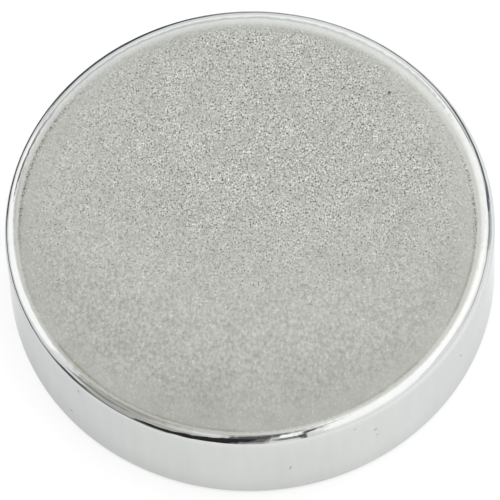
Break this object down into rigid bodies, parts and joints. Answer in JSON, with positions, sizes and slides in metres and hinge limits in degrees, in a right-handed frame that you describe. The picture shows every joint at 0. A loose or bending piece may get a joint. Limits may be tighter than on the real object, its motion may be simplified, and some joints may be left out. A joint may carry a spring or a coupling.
{
  "type": "disc magnet",
  "caption": "Flat round disc magnet with satin grained faces, a bright plated wall and burnished rounded edges, for holding, latching or a glued pocket.",
  "frame": {"origin": "centre of the lower face", "axes": "+Z along the disc's axis, from the lower face to the upper face"},
  "size_m": [0.025, 0.025, 0.006],
  "materials": {
    "nickel_plate": "bright nickel plate, satin and grainy on the faces, mirror smooth on the wall and edges"
  },
  "bodies": {
    "root": {"magnet_disc": "nickel_plate"}
  },
  "joints": []
}
